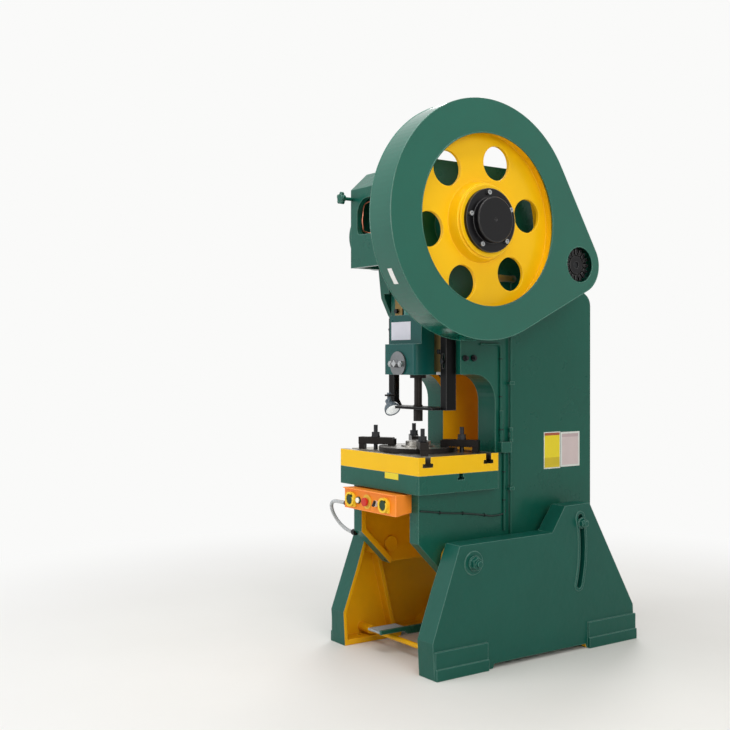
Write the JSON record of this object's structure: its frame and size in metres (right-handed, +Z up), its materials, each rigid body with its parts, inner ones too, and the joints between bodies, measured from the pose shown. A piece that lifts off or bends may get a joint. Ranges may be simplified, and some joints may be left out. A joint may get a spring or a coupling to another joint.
{
  "type": "mechanical stamping press",
  "caption": "Open-back inclinable crank press with a guarded flywheel, motor, ram, bolster with clamped die, two-hand console and foot trip.",
  "frame": {"origin": "centre of the four anchor holes, on the floor", "axes": "+X to the operator's right, +Y to the back of the machine, +Z up"},
  "size_m": [0.904, 1.4299, 2.283],
  "materials": {
    "leg_left": "satin",
    "leg_right": "satin",
    "tie_bars": "satin",
    "pivot_bolts": "satin",
    "front_shaft": "satin",
    "slot_bolts": "satin",
    "frame": "satin",
    "bolster": "satin",
    "die_plate": "satin",
    "ring_die": "satin",
    "clamps": "satin",
    "clamp_studs": "satin",
    "crank_bushes": "satin",
    "crankshaft": "satin",
    "clutch_collar": "satin",
    "brake_drum": "satin",
    "brake_band": "satin",
    "flywheel": "satin",
    "hub_cover": "satin",
    "hub_bolts": "satin",
    "belts": "matte",
    "motor_pulley": "satin",
    "motor_rotor": "satin",
    "motor_body": "satin",
    "fan_cowl": "satin",
    "terminal_box": "satin",
    "belt_guard": "gloss",
    "connecting_rod": "satin",
    "rod_cap": "satin",
    "rod_bolts": "satin",
    "ball_screw": "satin",
    "ball_cap": "gloss",
    "slide": "satin",
    "shank_clamp": "satin",
    "shank_bolts": "satin",
    "punch": "satin",
    "gibs": "satin",
    "frame_bolts": "satin",
    "stripper_bars": "satin",
    "stripper_plate": "satin",
    "console": "satin",
    "palm_shrouds": "gloss",
    "palm_button_left": "satin",
    "palm_button_right": "satin",
    "signal_lamp": "gloss",
    "stop_ring": "gloss",
    "stop_button": "gloss",
    "selector": "satin",
    "console_hose": "satin",
    "star_knob": "satin",
    "side_conduit": "satin",
    "side_brackets": "satin",
    "work_lamp": "satin",
    "pedal_lever": "satin",
    "foot_plate": "satin",
    "trip_link": "satin",
    "trip_rod": "satin",
    "clutch_lever": "satin",
    "lever_stud": "satin"
  },
  "bodies": {
    "base": {"leg_left": "leg_left", "leg_right": "leg_right", "tie_bars": "tie_bars", "pivot_bolts": "pivot_bolts", "front_shaft": "front_shaft"},
    "frame_body": {"frame": "frame", "slot_bolts": "slot_bolts", "bolster": "bolster", "die_plate": "die_plate", "ring_die": "ring_die", "clamps": "clamps", "clamp_studs": "clamp_studs", "crank_bushes": "crank_bushes", "brake_band": "brake_band", "belts": "belts", "motor_body": "motor_body", "fan_cowl": "fan_cowl", "terminal_box": "terminal_box", "belt_guard": "belt_guard", "gibs": "gibs", "frame_bolts": "frame_bolts", "stripper_bars": "stripper_bars", "stripper_plate": "stripper_plate", "console": "console", "palm_shrouds": "palm_shrouds", "signal_lamp": "signal_lamp", "stop_ring": "stop_ring", "console_hose": "console_hose", "side_conduit": "side_conduit", "side_brackets": "side_brackets", "lever_stud": "lever_stud"},
    "crank": {"crankshaft": "crankshaft", "clutch_collar": "clutch_collar", "brake_drum": "brake_drum"},
    "wheel": {"flywheel": "flywheel", "hub_cover": "hub_cover", "hub_bolts": "hub_bolts"},
    "rotor": {"motor_rotor": "motor_rotor", "motor_pulley": "motor_pulley"},
    "rod": {"connecting_rod": "connecting_rod", "rod_cap": "rod_cap", "rod_bolts": "rod_bolts", "ball_screw": "ball_screw", "ball_cap": "ball_cap"},
    "ram": {"slide": "slide", "shank_clamp": "shank_clamp", "shank_bolts": "shank_bolts", "punch": "punch"},
    "palm_left": {"palm_button_left": "palm_button_left"},
    "palm_right": {"palm_button_right": "palm_button_right"},
    "stop": {"stop_button": "stop_button"},
    "mode": {"selector": "selector"},
    "knob": {"star_knob": "star_knob"},
    "lamp": {"work_lamp": "work_lamp"},
    "pedal": {"pedal_lever": "pedal_lever", "foot_plate": "foot_plate"},
    "link": {"trip_link": "trip_link"},
    "trip": {"trip_rod": "trip_rod"},
    "clutch": {"clutch_lever": "clutch_lever"}
  },
  "joints": [
    {"name": "frame_tilt", "type": "hinge", "parent": "base", "child": "frame_body", "pos_m": [0, -0.376, 0.441], "axis": [-1, 0, 0], "range_deg": [0, 25]},
    {"name": "crank_turn", "type": "hinge", "parent": "frame_body", "child": "crank", "pos_m": [0, -0.376, 1.803], "axis": [-1, 0, 0], "range_deg": [0, 180]},
    {"name": "rod_swing", "type": "hinge", "parent": "crank", "child": "rod", "pos_m": [0, -0.376, 1.843], "axis": [-1, 0, 0], "range_deg": [-180, 0]},
    {"name": "ram_stroke", "type": "slide", "parent": "frame_body", "child": "ram", "axis": [0, 0, -1], "range_m": [0, 0.08]},
    {"name": "wheel_spin", "type": "hinge", "parent": "frame_body", "child": "wheel", "pos_m": [0, -0.376, 1.803], "axis": [-1, 0, 0], "continuous": true},
    {"name": "motor_spin", "type": "hinge", "parent": "frame_body", "child": "rotor", "pos_m": [0, 0.1365, 1.657], "axis": [-1, 0, 0], "continuous": true},
    {"name": "palm_press_left", "type": "slide", "parent": "frame_body", "child": "palm_left", "axis": [0, 1, 0], "range_m": [0, 0.004], "stiffness_N_per_m": 400},
    {"name": "palm_press_right", "type": "slide", "parent": "frame_body", "child": "palm_right", "axis": [0, 1, 0], "range_m": [0, 0.004], "stiffness_N_per_m": 400},
    {"name": "stop_press", "type": "slide", "parent": "frame_body", "child": "stop", "axis": [0, 1, 0], "range_m": [0, 0.005], "stiffness_N_per_m": 400},
    {"name": "mode_turn", "type": "hinge", "parent": "frame_body", "child": "mode", "pos_m": [0.05, -0.64, 0.665], "axis": [0, 1, 0], "range_deg": [-45, 45]},
    {"name": "knob_turn", "type": "hinge", "parent": "frame_body", "child": "knob", "pos_m": [-0.217, -0.6, 1.954], "axis": [0, 1, 0], "continuous": true},
    {"name": "lamp_turn", "type": "hinge", "parent": "frame_body", "child": "lamp", "pos_m": [-0.168, -0.407, 1.09], "axis": [0, 0, 1], "range_deg": [-60, 0]},
    {"name": "pedal_press", "type": "hinge", "parent": "base", "child": "pedal", "pos_m": [0, 0.1365, 0.075], "axis": [1, 0, 0], "range_deg": [0, 2], "stiffness_Nm_per_rad": 2500, "springref_deg": -1.15},
    {"name": "link_turn", "type": "hinge", "parent": "pedal", "child": "link", "pos_m": [0.255, -0.0635, 0.075], "axis": [1, 0, 0], "range_deg": [-2, 0]},
    {"name": "trip_pull", "type": "slide", "parent": "frame_body", "child": "trip", "axis": [0, 0, -1], "range_m": [0, 0.007]},
    {"name": "clutch_swing", "type": "hinge", "parent": "frame_body", "child": "clutch", "pos_m": [0.255, -0.1835, 1.6], "axis": [-1, 0, 0], "range_deg": [0, 3.4]}
  ],
  "couplings": [
    {"joint": "ram_stroke", "follows": "crank_turn", "m_per_rad": 0.025465},
    {"joint": "rod_swing", "follows": "crank_turn", "ratio": -1},
    {"joint": "motor_spin", "follows": "wheel_spin", "ratio": 7},
    {"joint": "link_turn", "follows": "pedal_press", "ratio": -1},
    {"joint": "trip_pull", "follows": "pedal_press", "m_per_rad": 0.2},
    {"joint": "clutch_swing", "follows": "pedal_press", "ratio": 1.6667}
  ]
}
